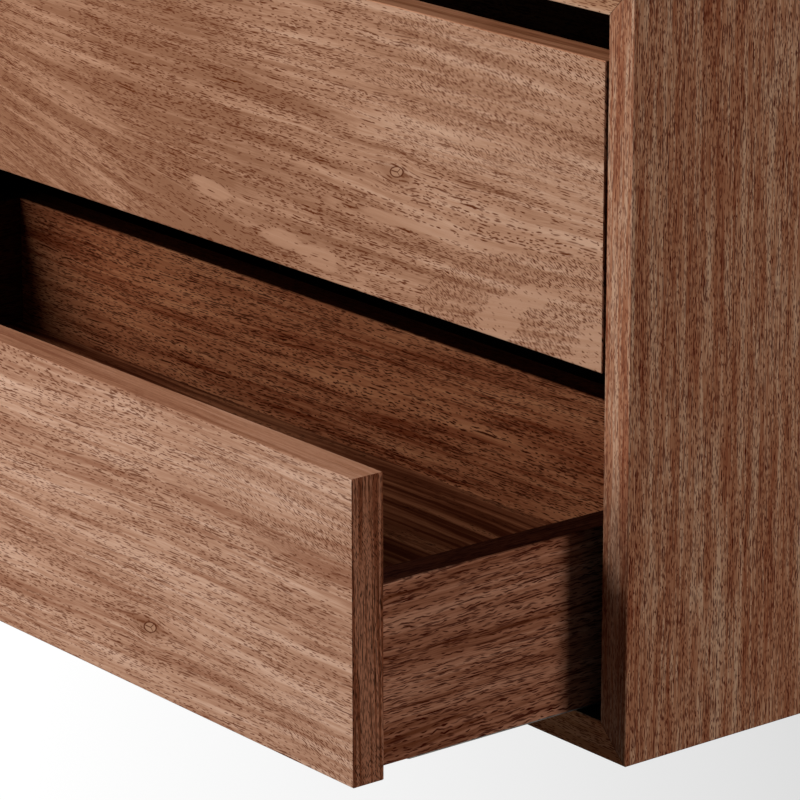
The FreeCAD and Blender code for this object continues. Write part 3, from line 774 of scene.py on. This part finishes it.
def screwShape(headRadius, headHeight, shankRadius, length):  # seat at z = 0, head above, thread below
    shape = bmesh.new()
    look = screwLook

    def threaded(height):
        taper = min(1.0, (height + length) / look["tip"] + look["tipShare"])

        def radius(turn):
            share = (height / look["pitch"] + turn / (2 * math.pi)) % 1.0
            cut = (1 - abs(2 * share - 1)) ** look["threadShape"]
            return shankRadius * taper - look["threadDepth"] * taper * cut
        return radius

    steps = int(length / look["pitch"] * look["stepsPerTurn"])
    heights = [-length + length * step / steps for step in range(steps)]
    thread = [(threaded(height), height) for height in heights]
    spin(shape, thread + [(shankRadius * look["neck"], 0)], look["shankSides"], (True, True))
    # the head: a rounded pan with a cross recess
    pan = [(headRadius * share, headHeight * rise) for share, rise in look["pan"]]
    rings = spin(shape, pan, look["headSides"], (True, False))
    recess = look["recess"]
    reach, half = headRadius * recess["reach"], headRadius * recess["halfWidth"]
    outline = []
    for quarter in range(4):
        turn = Matrix.Rotation(math.pi / 2 * quarter, 2)
        outline += [turn @ Vector(point) for point in ((reach, -half), (reach, half), (half, half))]
    loops = []
    for share, height in ((1.0, headHeight), (recess["taper"], headHeight * (1 - recess["depth"]))):
        loops.append([shape.verts.new((point.x * share, point.y * share, height)) for point in outline])
    for index in range(len(outline)):
        following = (index + 1) % len(outline)
        shape.faces.new((loops[0][index], loops[0][following], loops[1][following], loops[1][index]))
    shape.faces.new(loops[1])
    edges = []
    for loop in (rings[-1], loops[0]):
        for index, vertex in enumerate(loop):
            following = loop[(index + 1) % len(loop)]
            edges.append(shape.edges.get((vertex, following)) or shape.edges.new((vertex, following)))
    bmesh.ops.triangle_fill(shape, edges=edges, use_beauty=True, normal=(0, 0, 1))
    bmesh.ops.recalc_face_normals(shape, faces=shape.faces)
    return shape


def rollerShape(radius, length):  # chamfered ends with a turned centre
    shape = bmesh.new()
    cut, dimple = rollerLook["chamfer"], radius * rollerLook["dimpleShare"]
    deep, half = rollerLook["dimpleDepth"], length / 2
    floor = dimple * rollerLook["dimpleFloor"]
    oneEnd = [(floor, deep - half), (dimple, -half), (radius - cut, -half), (radius, cut - half)]
    otherEnd = [(ring, -height) for ring, height in reversed(oneEnd)]
    spin(shape, oneEnd + otherEnd, rollerLook["sides"], (True, True))
    bmesh.ops.recalc_face_normals(shape, faces=shape.faces)
    return shape


def addCopy(whole, shape, at, direction):  # turns a shape made along Z, in millimetres, and adds it in metres
    turn = Vector((0, 0, 1)).rotation_difference(Vector(direction)).to_matrix().to_4x4()
    mesh = bpy.data.meshes.new("copy")
    shape.to_mesh(mesh)
    mesh.transform(Matrix.Scale(mm, 4) @ Matrix.Translation(at) @ turn)
    whole.from_mesh(mesh)
    bpy.data.meshes.remove(mesh)


def replaceNode(name, whole, material):
    mesh = bpy.data.meshes.new(f"{name}_turned")
    whole.to_mesh(mesh)
    whole.free()
    mesh.polygons.foreach_set("use_smooth", [True] * len(mesh.polygons))
    mesh.set_sharp_from_angle(angle=math.radians(sharpAngle))
    mesh.materials.append(material)
    piece = bpy.data.objects.new(f"{name}_turned", mesh)
    bpy.context.scene.collection.objects.link(piece)
    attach(piece, bodyOf[name])
    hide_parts(name)


def spans(points):
    return [(min(point[axis] for point in points), max(point[axis] for point in points)) for axis in range(3)]


def makeScrews(name):
    whole = bmesh.new()
    for points in looseParts(name):
        box = spans(points)
        middle = Vector([(low + high) / 2 for low, high in box])
        axis = max(range(3), key=lambda index: box[index][1] - box[index][0])
        others = [index for index in range(3) if index != axis]
        reach = {id(point): math.hypot(*(point[index] - middle[index] for index in others)) for point in points}
        headRadius = max(reach.values())
        headFrom = headRadius * screwLook["headFrom"]
        head = [point[axis] for point in points if reach[id(point)] > headFrom]
        shankRadius = max(value for value in reach.values() if value < headFrom)
        up = 1 if max(head) > middle[axis] else -1
        seat = min(head) if up > 0 else max(head)
        direction, at = Vector((0, 0, 0)), middle.copy()
        direction[axis], at[axis] = up, seat
        length = abs((box[axis][0] if up > 0 else box[axis][1]) - seat)
        shape = screwShape(headRadius * screwLook["headShare"], max(head) - min(head),
                           shankRadius * screwLook["shankShare"], length)
        addCopy(whole, shape, at, direction)
        shape.free()
    replaceNode(name, whole, plated)


def makeRollers(name):
    whole = bmesh.new()
    for points in looseParts(name):
        box = spans(points)
        middle = Vector([(low + high) / 2 for low, high in box])
        shape = rollerShape((box[alongZ][1] - box[alongZ][0]) / 2, box[alongX][1] - box[alongX][0])
        addCopy(whole, shape, middle, (1, 0, 0))
        shape.free()
    replaceNode(name, whole, ground)


for name, slot in slotOf.items():
    if slot == "screw_steel":
        makeScrews(name)
    elif slot == "roller_steel":
        makeRollers(name)

print("stage: floor, light and camera")

white = (1, 1, 1, 1)
stageLook = {
    "drop": 0.45,  # the floor's distance under the case, and its width, in metres
    "span": 40,
    "paint": (0.12, 0.12, 0.12, 1),
    "glow": 0.7,  # how much of the floor as it is seen is its own glowing tone, which fades to a painted grey shadow towards the back right, and which keeps the rest for the shadow
    "near": (1.5, 1.5, 1.5, 1),
    "far": shade(194, 194, 194),
    "fadeAlong": (0.623, 0.782),
    "fade": (-700, 1300),
}
roomLook = {"colour": (1.0, 0.985, 0.965, 1), "strength": 0.005}
lamps = {
    "keyLamp": {"place": (-1.49, -2.75, 1.22), "target": (0.1, -0.2, 0.2), "size": (1.6, 1.84), "power": 127,
                "colour": (1, 1, 1)},
    "topLamp": {"place": (-0.5, 0.7, 2.7), "target": (0.0, -0.1, 0.2), "size": (1.8, 1.4), "power": 34,
                "colour": (1, 1, 1)},
    "sideLamp": {"place": (3.10, 1.10, 0.8), "target": (0.4, 0.0, 0.2), "size": (0.9, 1.8), "power": 37,
                 "colour": (1.0, 0.90, 0.80)},
}
view = {"place": (1.9833, -1.5798, 0.8344), "forward": (-0.74798, 0.59622, -0.29164), "roll": -0.057,
        "lens": 202.55, "sensor": 36, "clip": (0.05, 100)}


def makeFloor():
    mesh = bpy.data.meshes.new("floor")
    half = stageLook["span"] / 2
    height = caseLow.z - stageLook["drop"]
    corners = [(-half, -half, height), (half, -half, height), (half, half, height), (-half, half, height)]
    mesh.from_pydata(corners, [], [(0, 1, 2, 3)])
    floor = bpy.data.objects.new("floor", mesh)
    bpy.context.scene.collection.objects.link(floor)
    n = Sheet("paleFloor")
    paint = n.node("ShaderNodeBsdfDiffuse", None, {"Color": stageLook["paint"]})
    x, y = n.place()[:2]
    towardsX, towardsY = stageLook["fadeAlong"]
    # the seen floor fades from white to grey towards the back right: a painted soft shadow
    tone = n.mix(n.step(x * towardsX + y * towardsY, *stageLook["fade"]), stageLook["near"], stageLook["far"])
    glow = n.node("ShaderNodeEmission", None, {"Color": tone, "Strength": 1.0})
    under = n.node("ShaderNodeNewGeometry", out="Backfacing")
    surface = n.node("ShaderNodeMixShader", None, {0: n.seen() * stageLook["glow"], 1: paint, 2: glow})
    clear = n.node("ShaderNodeBsdfTransparent")
    mesh.materials.append(n.show(n.node("ShaderNodeMixShader", None, {0: under, 1: surface, 2: clear})))


def makeWorld():
    n = Sheet("softRoom", bpy.data.worlds.new("softRoom"))
    room = n.node("ShaderNodeBackground", None, {"Color": roomLook["colour"], "Strength": roomLook["strength"]})
    backdrop = n.node("ShaderNodeBackground", None, {"Color": white, "Strength": 1.0})
    both = n.node("ShaderNodeMixShader", None, {0: n.seen(), 1: room, 2: backdrop})
    bpy.context.scene.world = n.show(both, "ShaderNodeOutputWorld")


def makeLamp(name, place, target, size, power, colour):
    data = bpy.data.lights.new(name, "AREA")
    data.shape = "RECTANGLE"
    data.size, data.size_y = size
    data.energy = power
    data.color = colour
    lamp = bpy.data.objects.new(name, data)
    bpy.context.scene.collection.objects.link(lamp)
    lamp.location = place
    lamp.rotation_mode = "QUATERNION"
    lamp.rotation_quaternion = (Vector(target) - Vector(place)).to_track_quat("-Z", "Y")


def makeCamera():
    data = bpy.data.cameras.new("camera")
    data.sensor_width = view["sensor"]
    data.lens = view["lens"]
    data.clip_start, data.clip_end = view["clip"]
    camera = bpy.data.objects.new("camera", data)
    bpy.context.scene.collection.objects.link(camera)
    camera.location = view["place"]
    camera.rotation_mode = "QUATERNION"
    aim = Vector(view["forward"]).to_track_quat("-Z", "Y")
    turn = Matrix.Rotation(math.radians(view["roll"]), 3, "Z").to_quaternion()
    camera.rotation_quaternion = aim @ turn
    bpy.context.scene.camera = camera


makeFloor()
makeWorld()
for name, lamp in lamps.items():
    makeLamp(name, **lamp)
makeCamera()

bpy.context.scene.view_settings.view_transform = "Standard"
